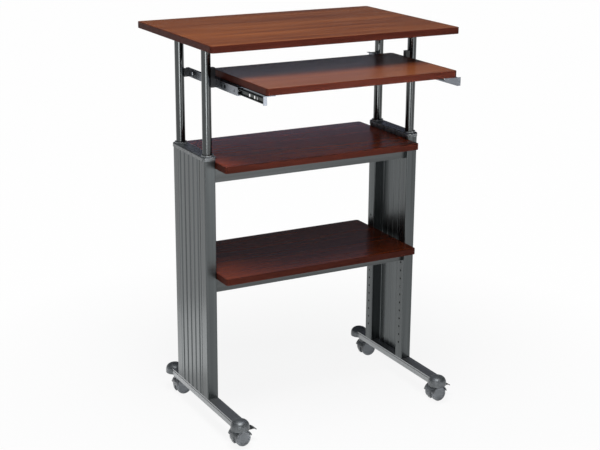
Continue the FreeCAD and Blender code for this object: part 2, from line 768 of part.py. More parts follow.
def slide_channels():
    blocks = []
    screws = []
    for name, side in SIDES.items():
        web = mirrored(side, f"{CHANNEL_OUTER} - channel_wall")
        outer = mirrored(side, CHANNEL_OUTER)
        inner = mirrored(side, CHANNEL_INNER)
        body = new_body(name + "_channel")
        profile = polygon(
            (outer, CHANNEL_BOTTOM), (inner, CHANNEL_BOTTOM), (inner, f"{CHANNEL_BOTTOM} + channel_wall"),
            (web, f"{CHANNEL_BOTTOM} + channel_wall"), (web, f"{CHANNEL_TOP} - channel_wall"),
            (inner, f"{CHANNEL_TOP} - channel_wall"), (inner, CHANNEL_TOP), (outer, CHANNEL_TOP)
        )
        pad(body, name + "_channel_sheet", "y", "channel_front", "channel_rear", profile)
        low, high = span(side, f"{CHANNEL_OUTER} - channel_wall", CHANNEL_OUTER)
        holes = [circle(post_y(end), SLIDE_MIDDLE, SCREW_HOLE) for end in ENDS.values()]
        holes.append(circle("channel_front + channel_round_place", SLIDE_MIDDLE, "cutout_round"))
        for place in ("channel_front + channel_slot_place", "channel_front + channel_stop_place",
                      "channel_rear - channel_stop_place - channel_slot_place / 4"):
            holes.append(rectangle(
                f"{place} - cutout_slot_width / 4", f"{SLIDE_MIDDLE} - cutout_slot_height / 2",
                f"{place} + cutout_slot_width / 4", f"{SLIDE_MIDDLE} + cutout_slot_height / 2"
            ))
        pocket(body, name + "_channel_holes", "x", low, high, *holes)
        keep(f"{name}_slide_channel", body)
        for end_name, end in ENDS.items():
            title = f"{name}_{end_name}"
            blocks.append(slide_block(title, side, end))
            seat = mirrored(side, f"{CHANNEL_OUTER} - channel_wall")
            grip = f"leg_reach - post_diameter / 2 + 2 * post_wall - {CHANNEL_OUTER} + channel_wall"
            screws.append(screw(title + "_slide_screw", "x", seat, side, post_y(end), SLIDE_MIDDLE, grip))
    keep("slide_blocks", group("slide_block_set", blocks))
    keep("slide_screws", group("slide_screw_set", screws))


def slide_block(title, side, end):
    """A block between a post and a channel; a front one has a head that reaches over the channel."""
    block = new_body(title + "_block")
    name = title + "_block_"
    middle = post_y(end)
    post_face = "leg_reach - post_diameter / 2 + block_wrap"
    low, high = span(side, CHANNEL_OUTER, post_face)
    stub = rectangle(low, f"{middle} - block_depth / 2", high, f"{middle} + block_depth / 2")
    pad(block, name + "stub", "z", CHANNEL_BOTTOM, CHANNEL_TOP, stub)
    block_top = CHANNEL_TOP
    if end == ENDS["front"]:
        block_top = f"{CHANNEL_TOP} + block_head_rise"
        head_low, head_high = span(side, f"{ANGLE_OUTER} + block_head_gap", post_face)
        head_front = f"{middle} - block_head_depth / 2"
        head = rectangle(head_low, head_front, head_high, f"{head_front} + block_head_depth")
        pad(block, name + "head", "z", CHANNEL_TOP, block_top, head)
    saddle = circle(mirrored(side, "leg_reach"), middle, "post_diameter + 2 * slide_fit")
    pocket(block, name + "saddle", "z", CHANNEL_BOTTOM, block_top, saddle)
    pocket(block, name + "hole", "x", low, high, circle(middle, SLIDE_MIDDLE, SCREW_HOLE))
    return block


def runner_cutouts():
    """Round and square openings near the front of each runner."""
    slot_place = "tray_front + runner_slot_place"
    return [
        circle("tray_front + runner_round_place", SLIDE_MIDDLE, "cutout_round"),
        rectangle(f"{slot_place} - cutout_slot_width / 2", f"{SLIDE_MIDDLE} - cutout_slot_height / 2",
                  f"{slot_place} + cutout_slot_width / 2", f"{SLIDE_MIDDLE} + cutout_slot_height / 2"),
    ]


def angle_window():
    """One opening in each angle that clears both openings of the runner."""
    front = "tray_front + runner_slot_place - cutout_slot_width / 2"
    rear = "tray_front + runner_round_place + window_past_round"
    bottom = f"({SLIDE_MIDDLE} - window_height / 2)"
    return rectangle(front, bottom, rear, f"{bottom} + window_height")


def runner_screw_places():
    for share in (1, 4, 7):
        yield f"{RUNNER_FRONT} + {share} * runner_length / 8 + cutout_round / 2"


def tray_runners():
    screws = []
    for name, side in SIDES.items():
        inner = mirrored(side, ANGLE_OUTER)
        outer = mirrored(side, f"{ANGLE_OUTER} + runner_width")
        web = mirrored(side, f"{ANGLE_OUTER} + runner_wall")
        runner = new_body(name + "_runner")
        profile = polygon(
            (inner, RUNNER_BOTTOM), (outer, RUNNER_BOTTOM), (outer, f"{RUNNER_BOTTOM} + runner_wall"),
            (web, f"{RUNNER_BOTTOM} + runner_wall"), (web, f"{RUNNER_TOP} - runner_wall"),
            (outer, f"{RUNNER_TOP} - runner_wall"), (outer, RUNNER_TOP), (inner, RUNNER_TOP)
        )
        pad(runner, name + "_runner_sheet", "y", RUNNER_FRONT, RUNNER_REAR, profile)
        screw_holes = [circle(place, SLIDE_MIDDLE, SCREW_HOLE) for place in runner_screw_places()]
        low, high = span(side, ANGLE_OUTER, f"{ANGLE_OUTER} + runner_wall")
        pocket(runner, name + "_runner_holes", "x", low, high, *runner_cutouts(), *screw_holes)
        keep(f"{name}_slide_runner", runner)
        angle = new_body(name + "_angle")
        drop = f"({CHANNEL_TOP} - angle_drop)"
        leg_face = mirrored(side, ANGLE_INNER)
        flange_end = mirrored(side, f"{ANGLE_OUTER} - angle_width")
        section = polygon(
            (inner, drop), (inner, TRAY_BOTTOM), (flange_end, TRAY_BOTTOM), (flange_end, CHANNEL_TOP),
            (leg_face, CHANNEL_TOP), (leg_face, drop)
        )
        pad(angle, name + "_angle_sheet", "y", "tray_front", TRAY_REAR, section)
        tab_low, tab_high = span(side, ANGLE_INNER, f"{ANGLE_OUTER} + angle_tab")
        tab = rectangle(tab_low, drop, tab_high, TRAY_BOTTOM)
        pad(angle, name + "_angle_tab", "y", "tray_front", RUNNER_FRONT, tab)
        low, high = span(side, ANGLE_INNER, ANGLE_OUTER)
        pocket(angle, name + "_angle_holes", "x", low, high, angle_window(), *screw_holes)
        places = [place for place in tray_screw_places() if place[0].startswith(f"{side} ")]
        flange_holes = [circle(across, along, SCREW_HOLE) for across, along in places]
        pocket(angle, name + "_flange_holes", "z", CHANNEL_TOP, TRAY_BOTTOM, *flange_holes)
        keep(f"{name}_tray_angle", angle)
        for number, place in enumerate(runner_screw_places()):
            seat = mirrored(side, f"{ANGLE_OUTER} + runner_wall")
            grip = "runner_wall + angle_wall"
            screws.append(screw(f"{name}_runner_screw_{number}", "x", seat, -side, place, SLIDE_MIDDLE, grip))
    for number, (across, along) in enumerate(tray_screw_places()):
        grip = "angle_wall + shelf_screw_grip"
        screws.append(screw(f"tray_screw_{number}", "z", CHANNEL_TOP, 1, across, along, grip))
    keep("tray_screws", group("tray_screw_set", screws))


def ball_cages():
    pieces = []
    for name, side in SIDES.items():
        middle = f"({ANGLE_OUTER} + runner_wall + (runner_width - runner_wall) / 2)"
        low, high = span(side, f"{middle} - cage_width / 2", f"{middle} + cage_width / 2")
        levels = {
            "upper": f"({RUNNER_TOP} + {BALL_ROOM} / 2)",
            "lower": f"({RUNNER_BOTTOM} - {BALL_ROOM} / 2)",
        }
        for level_name, level in levels.items():
            title = f"{name}_{level_name}_cage"
            strip = new_body(title)
            rear = "cage_front + 2 * cage_margin + (ball_count - 1) * ball_pitch"
            strip_low = f"{level} - cage_wall / 2"
            strip_high = f"{level} + cage_wall / 2"
            outline = rectangle(low, "cage_front", high, rear)
            pad(strip, title + "_strip", "z", strip_low, strip_high, outline)
            rooms = []
            for number in range(int(SIZES["ball_count"])):
                along = f"cage_front + cage_margin + {number} * ball_pitch"
                rooms.append(circle(mirrored(side, middle), along, BALL_ROOM))
                ball = doc.addObject("Part::Sphere", f"{title}_ball_{number}")
                bind(ball, Radius="ball_diameter / 2", Placement__Base__x=mirrored(side, middle),
                     Placement__Base__y=along, Placement__Base__z=level)
                pieces.append(ball)
            pocket(strip, title + "_rooms", "z", strip_low, strip_high, *rooms)
            pieces.append(strip)
    keep("ball_cages", group("ball_cage_set", pieces))


# Feet


def feet():
    caps = []
    stems = []
    for name, side in SIDES.items():
        body = new_body(name + "_foot")
        low, high = span(side, "leg_reach - foot_width / 2", "leg_reach + foot_width / 2")
        groove_top = "foot_top - foot_groove_place"
        groove_bottom = "foot_top - foot_groove_place - foot_groove_height"
        outline = polygon(
            (low, FOOT_BOTTOM), (high, FOOT_BOTTOM), (high, groove_bottom),
            (f"{high} - foot_groove", groove_bottom), (f"{high} - foot_groove", groove_top),
            (high, groove_top), (high, "foot_top"), (low, "foot_top"), (low, groove_top),
            (f"{low} + foot_groove", groove_top), (f"{low} + foot_groove", groove_bottom),
            (low, groove_bottom)
        )
        hollow = rectangle(f"{low} + foot_wall", f"{FOOT_BOTTOM} + foot_wall", f"{high} - foot_wall",
                           "foot_top - foot_wall")
        pad(body, name + "_foot_tube", "y", f"-1 * {FOOT_REACH}", FOOT_REACH, outline, hollow)
        across = mirrored(side, "leg_reach")
        bolt_holes = [circle(across, post_y(end), "bolt_diameter + 2 * screw_fit") for end in ENDS.values()]
        pocket(body, name + "_foot_bolts", "z", "foot_top - foot_wall", "foot_top", *bolt_holes)
        access = [circle(across, post_y(end), "bolt_access_diameter") for end in ENDS.values()]
        stem_y = [f"{end} * caster_pitch / 2" for end in ENDS.values()]
        stem_holes = [circle(across, along, "stem_diameter + 2 * screw_fit") for along in stem_y]
        floor = f"{FOOT_BOTTOM} + foot_wall"
        pocket(body, name + "_foot_access", "z", FOOT_BOTTOM, floor, *access, *stem_holes)
        keep(f"{name}_foot", body)
        for end_name, end in ENDS.items():
            title = f"{end_name}_{name}"
            along = f"{end} * caster_pitch / 2"
            caps.append(foot_cap(title, end, across, low, high))
            stems.extend(caster_stem(title, across, along))
    keep("foot_end_caps", group("foot_cap_set", caps))
    keep("caster_stems", group("caster_stem_set", stems))


def foot_cap(title, end, across, low, high):
    """A domed cap over the end of the foot bar, held by a tongue in the tube."""
    cap = new_body(title + "_foot_cap")
    name = title + "_foot_cap_"
    along = f"{end} * foot_cap_place"
    cap_top = "foot_top + foot_cap_above"
    pad(cap, name + "disc", "z", FOOT_BOTTOM, cap_top, circle(across, along, "foot_cap_diameter"))
    doc.recompute()
    top = cap.Tip.Shape.BoundBox.ZMax
    round_edges(cap, name + "dome", "foot_cap_dome", level_with(top))
    bar_end = f"{end} * ({FOOT_REACH} + foot_cap_fit)"
    bar_start = f"{end} * (foot_cap_place - foot_cap_diameter)"
    tongue_start = f"{end} * ({FOOT_REACH} - foot_cap_tongue)"
    room = rectangle(f"{low} - foot_cap_fit", f"{FOOT_BOTTOM} - foot_cap_fit", f"{high} + foot_cap_fit",
                     "foot_top + foot_cap_fit")
    pocket(cap, name + "room", "y", *in_order(end, bar_start, bar_end), room)
    tongue = rectangle(f"{low} + foot_wall + foot_cap_fit", f"{FOOT_BOTTOM} + foot_wall + foot_cap_fit",
                       f"{high} - foot_wall - foot_cap_fit", "foot_top - foot_wall - foot_cap_fit")
    pad(cap, name + "tongue", "y", *in_order(end, tongue_start, bar_end), tongue)
    return cap


def caster_stem(title, across, along):
    """The threaded stem of a caster and its nut inside the foot bar."""
    seat = f"({FOOT_BOTTOM} + foot_wall)"
    nut_top = f"({seat} + stem_nut_height)"
    stem = cylinder(title + "_stem", "z", "stem_bottom", f"{nut_top} + stem_past_nut", across, along,
                    "stem_diameter")
    nut = doc.addObject("Part::Prism", title + "_nut_solid")
    nut.Polygon = 6
    bind(nut, Circumradius="stem_nut_width / 3 ^ 0.5", Height="stem_nut_height", Placement__Base__x=across,
         Placement__Base__y=along, Placement__Base__z=seat)
    thread_size = "stem_diameter + 2 * screw_fit"
    thread = cylinder(title + "_nut_thread", "z", seat, nut_top, across, along, thread_size)
    return stem, cut(title + "_nut", nut, thread)


# Casters, each modelled about its own swivel axis and then set in place


def set_caster(item, side, end):
    """Put a caster piece on its swivel axis, turned as the caster stands."""
    item.Placement = FreeCAD.Placement(FreeCAD.Vector(), FreeCAD.Rotation(FreeCAD.Vector(0, 0, 1), 1))
    bind(item, Placement__Base__x=mirrored(side, "leg_reach"), Placement__Base__y=f"{end} * caster_pitch / 2",
         Placement__Rotation__Angle=f"{-end} * caster_swing")


AXLE_HEIGHT = "(wheel_diameter / 2)"
HOOD_DIAMETER = "(wheel_diameter + 2 * (hood_room + hood_wall))"
WEB_HALF = "(wheel_gap / 2 - hood_web_gap)"
HOOD_HALF = "(wheel_gap / 2 + wheel_width + hood_web_gap)"
PIVOT_OUT = "(caster_trail + lever_pivot_out)"
PIVOT_UP = f"({AXLE_HEIGHT} + lever_pivot_up)"


def caster_hood(title, side, end, braked):
    body = new_body(title + "_hood")
    disc = circle("caster_trail", AXLE_HEIGHT, HOOD_DIAMETER)
    pad(body, title + "_hood_disc", "y", f"-1 * {HOOD_HALF}", HOOD_HALF, disc)
    room = circle("caster_trail", AXLE_HEIGHT, "wheel_diameter + 2 * hood_room")
    hood_near = f"caster_trail - {HOOD_DIAMETER}"
    hood_far = f"caster_trail + {HOOD_DIAMETER}"
    below = rectangle(hood_near, f"-1 * {HOOD_DIAMETER}", hood_far, f"{AXLE_HEIGHT} + hood_skirt")
    for name, half in SIDES.items():
        low, high = span(half, WEB_HALF, HOOD_HALF)
        pocket(body, f"{title}_{name}_wheel_room", "y", low, high, room)
        pocket(body, f"{title}_{name}_skirt_edge", "y", low, high, below)
    under = rectangle(hood_near, f"-1 * {HOOD_DIAMETER}", hood_far, "hood_web_bottom")
    pocket(body, title + "_web_edge", "y", f"-1 * {HOOD_HALF}", HOOD_HALF, under)
    boss_top = f"({FOOT_BOTTOM} - hood_below_foot)"
    pad(body, title + "_boss", "z", "boss_bottom", boss_top, circle("0", "0", "boss_diameter"))
    swivel_bottom = f"{AXLE_HEIGHT} + wheel_diameter / 2 + hood_room + hood_wall / 2"
    pad(body, title + "_swivel", "z", swivel_bottom, boss_top, circle("0", "0", "swivel_diameter"))
    if braked:
        lug_half = "(lug_width / 2)"
        link = polygon(
            ("caster_trail", f"{AXLE_HEIGHT} + lug_radius"), (PIVOT_OUT, f"{PIVOT_UP} - lug_radius"),
            (PIVOT_OUT, f"{PIVOT_UP} + lug_radius"), ("caster_trail", f"{PIVOT_UP} + lug_radius / 2")
        )
        pad(body, title + "_lug_link", "y", f"-1 * {lug_half}", lug_half, link)
        lug = circle(PIVOT_OUT, PIVOT_UP, "2 * lug_radius")
        pad(body, title + "_lug", "y", f"-1 * {lug_half}", lug_half, lug)
        pin_hole = circle(PIVOT_OUT, PIVOT_UP, "pin_diameter + 2 * axle_fit")
        pocket(body, title + "_pin_hole", "y", f"-1 * {lug_half}", lug_half, pin_hole)
    stem_hole = circle("0", "0", "stem_diameter + 2 * axle_fit")
    pocket(body, title + "_stem_hole", "z", "stem_bottom - hood_web_gap", boss_top, stem_hole)
    axle_hole = circle("caster_trail", AXLE_HEIGHT, "axle_diameter + 2 * axle_fit")
    pocket(body, title + "_axle_hole", "y", f"-1 * {HOOD_HALF}", HOOD_HALF, axle_hole)
    set_caster(body, side, end)
    keep(f"{title}_caster_hood", body)


def caster_wheels(title, side, end):
    pieces = []
    for name, half in SIDES.items():
        wheel = new_body(f"{title}_{name}_wheel")
        low, high = span(half, "wheel_gap / 2", "wheel_gap / 2 + wheel_width")
        part = f"{title}_{name}_wheel"
        pad(wheel, part + "_disc", "y", low, high, circle("caster_trail", AXLE_HEIGHT, "wheel_diameter"))
        round_edges(wheel, part + "_tread", "wheel_round", circular)
        face = "wheel_gap / 2 + wheel_width"
        dish_low, dish_high = span(half, f"{face} - hub_dish_depth", face)
        pocket(wheel, part + "_dish", "y", dish_low, dish_high,
               circle("caster_trail", AXLE_HEIGHT, "hub_dish_diameter"))
        bore_low, bore_high = span(half, "wheel_gap / 2", f"{face} - axle_inset")
        pocket(wheel, part + "_bore", "y", bore_low, bore_high,
               circle("caster_trail", AXLE_HEIGHT, "axle_diameter + 2 * screw_fit"))
        pieces.append(wheel)
    axle_half = "(wheel_gap / 2 + wheel_width - axle_inset - screw_fit)"
    pieces.append(cylinder(title + "_axle", "y", f"-1 * {axle_half}", axle_half, "caster_trail", AXLE_HEIGHT,
                           "axle_diameter"))
    wheels = group(title + "_wheel_set", pieces)
    set_caster(wheels, side, end)
    keep(f"{title}_caster_wheels", wheels)


def brake_lever(title, side, end):
    lever = new_body(title + "_lever")
    root = f"({PIVOT_OUT} + lever_root)"
    tip = f"({PIVOT_OUT} + lever_root + lever_length)"
    upper = f"({PIVOT_UP} + lever_thickness / 2)"
    lower = f"({PIVOT_UP} - lever_thickness / 2)"
    bend = f"({root} + lever_length / 2)"
    paddle = polygon(
        (root, lower), (bend, lower), (tip, f"{lower} - lever_droop"), (tip, f"{upper} - lever_droop"),
        (bend, upper), (root, upper)
    )
    pad(lever, title + "_paddle", "y", "-1 * lever_width / 2", "lever_width / 2", paddle)
    cheek_bottom = f"{PIVOT_UP} - cheek_radius"
    cheek_top = f"{PIVOT_UP} + cheek_radius"
    cheek = rectangle(f"{PIVOT_OUT} - cheek_radius", cheek_bottom, f"{root} + lever_thickness", cheek_top)
    for name, half in SIDES.items():
        low, high = span(half, "lug_width / 2 + cheek_gap", "lug_width / 2 + cheek_gap + cheek_wall")
        pad(lever, f"{title}_{name}_cheek", "y", low, high, cheek)
    cheek_far = "(lug_width / 2 + cheek_gap + cheek_wall)"
    hole = circle(PIVOT_OUT, PIVOT_UP, "pin_diameter + 2 * screw_fit")
    pocket(lever, title + "_lever_hole", "y", f"-1 * {cheek_far}", cheek_far, hole)
    pin = cylinder(title + "_pin", "y", f"-1 * {cheek_far}", cheek_far, PIVOT_OUT, PIVOT_UP, "pin_diameter")
    assembly = group(title + "_lever_set", [lever, pin])
    set_caster(assembly, side, end)
    keep(f"{title}_brake_lever", assembly)


def casters():
    for end_name, end in ENDS.items():
        for side_name, side in SIDES.items():
            title = f"{end_name}_{side_name}"
            braked = end < 0
            caster_hood(title, side, end, braked)
            caster_wheels(title, side, end)
            if braked:
                brake_lever(title, side, end)


boards()
posts()
post_plates()
columns()
side_panels()
leg_caps()
column_bases()
shelf_rails()
slide_channels()
tray_runners()
ball_cages()
feet()
casters()
doc.recompute()

for item in doc.Objects:
    if "Invalid" in item.State or "Error" in item.State:
        raise RuntimeError(f"{item.Label} failed: {item.State}")
for label, item in nodes.items():
    if item.Shape.isNull() or not item.Shape.isValid():
        raise RuntimeError(f"{label} has no valid shape")

os.makedirs("parts", exist_ok=True)
for label, item in nodes.items():
    item.Shape.exportStep(f"parts/{label}.step")
    print(label, len(item.Shape.Solids), round(item.Shape.Volume))
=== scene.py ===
"""Standing desk on casters: finishes of its boards, metal and plastic, and a plain studio stage."""

import math

import bmesh
import bpy
from mathutils import Matrix, Vector

bl_info = {
    "name": "Standing Desk Dressing",
    "version": (1, 0, 0),
    "blender": (4, 5, 0),
    "location": "View3D > Sidebar > Desk",
    "description": "Finishes the pieces of a standing desk and sets a plain studio stage",
    "category": "Object",
}

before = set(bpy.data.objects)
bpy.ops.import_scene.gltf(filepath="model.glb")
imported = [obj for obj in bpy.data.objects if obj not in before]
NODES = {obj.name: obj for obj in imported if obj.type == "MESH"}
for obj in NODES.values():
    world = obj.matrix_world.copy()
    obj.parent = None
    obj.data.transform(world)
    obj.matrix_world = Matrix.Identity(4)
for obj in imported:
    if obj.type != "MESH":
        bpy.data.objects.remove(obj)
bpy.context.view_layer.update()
SIDES = ("left", "right")
ENDS = ("front", "rear")
CORNERS = [f"{end}_{side}" for end in ENDS for side in SIDES]
SHELVES = ("middle", "lower")

# Noise: its middle, and the range that most of it falls in
NOISE_MIDDLE = (0.5, 0.5, 0.5)
NOISE_RANGE = (0.3, 0.7)
FULL_RANGE = (0.0, 1.0)

# Wood grain along X: how far the streaks sway, and how fine each pattern is along and across them
GRAIN_SWAY = (0.0, 0.012, 0.012)
BROAD_STREAKS = (1.6, 38.0, 38.0)
FINE_STREAKS = (7.0, 420.0, 420.0)
FINE_SHARE = 0.35
STREAK_RANGE = (0.45, 0.92)
PORES = (26.0, 900.0, 900.0)
PORE_RANGE = (0.60, 0.74)

# Laminate: its pores, its roughness from dark to light streaks, its gloss, and the backer below it
PORE_COLOUR = (0.060, 0.018, 0.012)
PORE_SHARE = 0.45
WOOD_ROUGHNESS = (0.26, 0.20)
WOOD_GLOSS = {"Specular IOR Level": 0.36, "Coat Weight": 0.16, "Coat Roughness": 0.14}
UNDERSIDE_RANGE = (-0.5, -0.9)
BACKER_DULLNESS = 0.35

# Edge band: the lightness of its streaks, its roughness from dark to light ones, and its gloss
BAND_STREAK = 1.7
BAND_ROUGHNESS = (0.50, 0.42)
BAND_SPECULAR = 0.06

# Handling marks on metal and plastic
MARK_RANGE = (0.60, 0.72)

# Coated metal: shares of the coat's own colour, its flecks, and how far its roughness varies
COAT_DARK, COAT_LIGHT, COAT_FLECK, COAT_RUBBED = 0.72, 1.28, 1.9, 0.55
FLECK_RANGE = (0.62, 0.78)
FLECK_SHARE = 0.5
COAT_PLAY = 0.06

# Ways in which metal is formed: a small number draws the unevenness out along that axis
EVENLY = (1.0, 1.0, 1.0)
ROLLED_X = (0.015, 1.0, 1.0)
ROLLED_Y = (1.0, 0.015, 1.0)
ROLLED_Z = (1.0, 1.0, 0.015)
TURNED_X = (0.05, 1.0, 1.0)
DRAWN_Z = (1.0, 1.0, 0.02)
PRESSED_Y = (1.0, 0.02, 1.0)
SHEARED_Y = (1.0, 0.05, 1.0)
POLISHED_Y = (1.0, 0.1, 1.0)

# Moulded plastic: shares of its own colour, its scuffs, and how far its roughness varies
SKIN_DARK, SKIN_LIGHT = 0.82, 1.18
SCUFF_LIGHT, SCUFF_LIFT = 1.7, 0.01
SKIN_PLAY = 0.05

# Colours of pieces that hardly show
PLATE_BLACK = (0.035, 0.036, 0.037)
NYLON_BLACK = (0.018, 0.018, 0.019)
LEVER_BLACK = (0.040, 0.042, 0.043)
RUNNER_BLACK = (0.045, 0.052, 0.050)
BUTTON_STEEL = (0.50, 0.50, 0.51)
BALL_STEEL = (0.45, 0.45, 0.46)
FASTENER_STEEL = (0.42, 0.42, 0.43)

# Floor: half its side, and how white the camera sees it close to the desk and further away
WHITE = (1.0, 1.0, 1.0)
FLOOR_REACH = 80.0
FLOOR_GREY = (0.86, 0.86, 0.86)
SHADOW_RANGE = (0.45, 1.3)
WHITE_RANGE = (0.90, 0.99)

# Surroundings as the metal mirrors them: white up to a low line, and above it a dim room
ROOM_COLOUR = (0.80, 0.86, 1.0)
ROOM_STRENGTH = 0.065
LINE_RANGE = (0.02, 0.06)

# Lamps and camera
DESK_MIDDLE = (0.0, 0.0, 0.6)
COOL_BLUE = (0.58, 0.62, 1.0)
SHELF_SPREAD = math.radians(20.0)
RIGHT_STRIP_SHARE = 0.25
SENSOR_WIDTH = 36.0


# Sizes and colours a user would change


def colour(name, description, default):
    """A colour that a user can change."""
    return bpy.props.FloatVectorProperty(
        name=name, description=description, default=default,
        size=3, min=0.0, max=1.0, subtype="COLOR",
    )


def power(name, description, default):
    """The power of a lamp, in watts."""
    return bpy.props.FloatProperty(
        name=name, description=description, default=default, min=0.0, unit="POWER"
    )


class DeskColours(bpy.types.PropertyGroup):
    """Colours of the desk's finishes."""

    wood_dark: colour("Wood dark", "Darker streaks of the wood laminate", (0.105, 0.020, 0.004))
    wood_light: colour("Wood light", "Lighter streaks of the wood laminate", (0.340, 0.092, 0.013))
    backer: colour("Backer", "Sheet on the underside of the boards", (0.180, 0.205, 0.340))
    band: colour("Edge band", "Band round the edge of the boards", (0.055, 0.0125, 0.0075))
    post: colour("Posts", "Gunmetal coat of the posts", (0.066, 0.070, 0.071))
    leg: colour("Legs", "Charcoal metallic coat of the legs", (0.092, 0.100, 0.102))
    rail: colour("Rails", "Charcoal metallic coat of the shelf rails", (0.100, 0.106, 0.107))
    foot: colour("Feet", "Charcoal metallic coat of the foot bars", (0.320, 0.332, 0.338))
    cap: colour("Leg caps", "Metallic coat of the moulded caps on the legs", (0.140, 0.150, 0.155))
    foot_cap: colour(
        "Foot caps", "Metallic coat of the moulded caps on the foot bars", (0.150, 0.161, 0.168)
    )
    slide: colour("Slides", "Zinc-plated steel of the tray slides", (0.190, 0.205, 0.230))
    hood: colour("Caster hoods", "Moulded hoods of the casters", (0.180, 0.192, 0.200))
    wheel: colour("Caster wheels", "Moulded wheels of the casters", (0.250, 0.268, 0.285))


class DeskStage(bpy.types.PropertyGroup):
    """Camera and lamps."""

    place: bpy.props.FloatVectorProperty(
        name="Camera place",
        description="Where the camera stands, in the desk's frame",
        default=(-1.7396, -3.1647, 1.6243),
        size=3,
        subtype="TRANSLATION",
        unit="LENGTH",
    )
    azimuth: bpy.props.FloatProperty(
        name="Azimuth",
        description="Turn of the camera round the desk; zero looks straight at the front",
        default=math.radians(-28.534),
        unit="ROTATION",
    )
    elevation: bpy.props.FloatProperty(
        name="Elevation",
        description="How far the camera looks down",
        default=math.radians(16.881),
        unit="ROTATION",
    )
    roll: bpy.props.FloatProperty(
        name="Roll", description="Lean of the camera", default=math.radians(0.373), unit="ROTATION"
    )
    lens: bpy.props.FloatProperty(
        name="Lens", description="Focal length", default=79.409, min=10.0, max=300.0, unit="CAMERA"
    )
    key: power("Key lamp", "Power of the soft lamp high in front", 61.0)
    fill: power("Fill lamp", "Power of the soft lamp in front", 5.0)
    low: power("Floor lamp", "Power of the lamp close over the floor at the left", 0.6)
    strip: power("Strip lamps", "Power of the low lamp at the left; the right one has less", 14.0)
    shelf: power("Shelf lamp", "Power of the narrow lamp that shines in over the middle shelf", 0.6)
    cool: power("Cool panel", "Power of the low bluish panel behind", 0.12)


# Shader node helpers


def put(tree, kind, inputs=None, **settings):
    """Add a node; inputs maps socket names or numbers to values or the outputs that feed them."""
    made = tree.nodes.new(kind)
    for name, value in settings.items():
        setattr(made, name, value)
    for name, value in (inputs or {}).items():
        socket = made.inputs[name]
        if isinstance(value, bpy.types.NodeSocket):
            tree.links.new(value, socket)
        else:
            socket.default_value = value
    return made


def arithmetic(tree, operation, *values):
    """The output of a Math node; each value is a number or an output."""
    return put(tree, "ShaderNodeMath", dict(enumerate(values)), operation=operation).outputs[0]


def vector_arithmetic(tree, operation, *vectors):
    """The vector output of a Vector Math node; each vector is a tuple or an output."""
    made = put(tree, "ShaderNodeVectorMath", dict(enumerate(vectors)), operation=operation)
    return made.outputs["Vector"]


def blend(tree, share, first, second):
    """The output of a colour mix; share is an output or a number, the colours outputs or tuples."""
    sides = [
        value if isinstance(value, bpy.types.NodeSocket) else (*value, 1.0)
        for value in (first, second)
    ]
    made = put(tree, "ShaderNodeMix", {0: share, 6: sides[0], 7: sides[1]}, data_type="RGBA")
    return made.outputs[2]


def rescale(tree, value, low, high, new_low, new_high):
    """The output of a Map Range that takes low to new_low and high to new_high."""
    limits = {
        "Value": value, "From Min": low, "From Max": high, "To Min": new_low, "To Max": new_high
    }
    return put(tree, "ShaderNodeMapRange", limits).outputs[0]


def vary(tree, value, low, high):
    """A noise that runs from low to high over the range that most of it falls in."""
    return rescale(tree, value, *NOISE_RANGE, low, high)


def noise(tree, vector, scale, detail, **shape):
    """The outputs of a noise; shape is its Roughness or Distortion where they aren't the usual."""
    inputs = {"Vector": vector, "Scale": scale, "Detail": detail, **shape}
    return put(tree, "ShaderNodeTexNoise", inputs).outputs


def object_place(tree, stretch=EVENLY, shift=(0.0, 0.0, 0.0)):
    """Object coordinates, stretched and shifted by a Mapping node."""
    place = put(tree, "ShaderNodeTexCoord").outputs["Object"]
    inputs = {"Vector": place, "Scale": stretch, "Location": shift}
    return put(tree, "ShaderNodeMapping", inputs).outputs[0]


def add_relief(tree, shader, height, strength, distance, sunk=False):
    """Give the shader a fine relief; a sunk one goes in where height is large."""
    inputs = {"Strength": strength, "Distance": distance, "Height": height}
    relief = put(tree, "ShaderNodeBump", inputs, invert=sunk)
    tree.links.new(relief.outputs[0], shader.inputs["Normal"])


def toned(tint, share, lift=0.0):
    """A colour times a share plus a lift, and no more than white."""
    return tuple(min(1.0, share * part + lift) for part in tint)


def new_group(name, inputs, outputs):
    """A node group with named float or vector inputs and named float outputs."""
    tree = bpy.data.node_groups.new(name, "ShaderNodeTree")
    for title, kind, default in inputs:
        socket = tree.interface.new_socket(title, in_out="INPUT", socket_type=kind)
        if kind == "NodeSocketFloat":
            socket.default_value = default
    for title in outputs:
        tree.interface.new_socket(title, in_out="OUTPUT", socket_type="NodeSocketFloat")
    return tree, put(tree, "NodeGroupInput"), put(tree, "NodeGroupOutput")


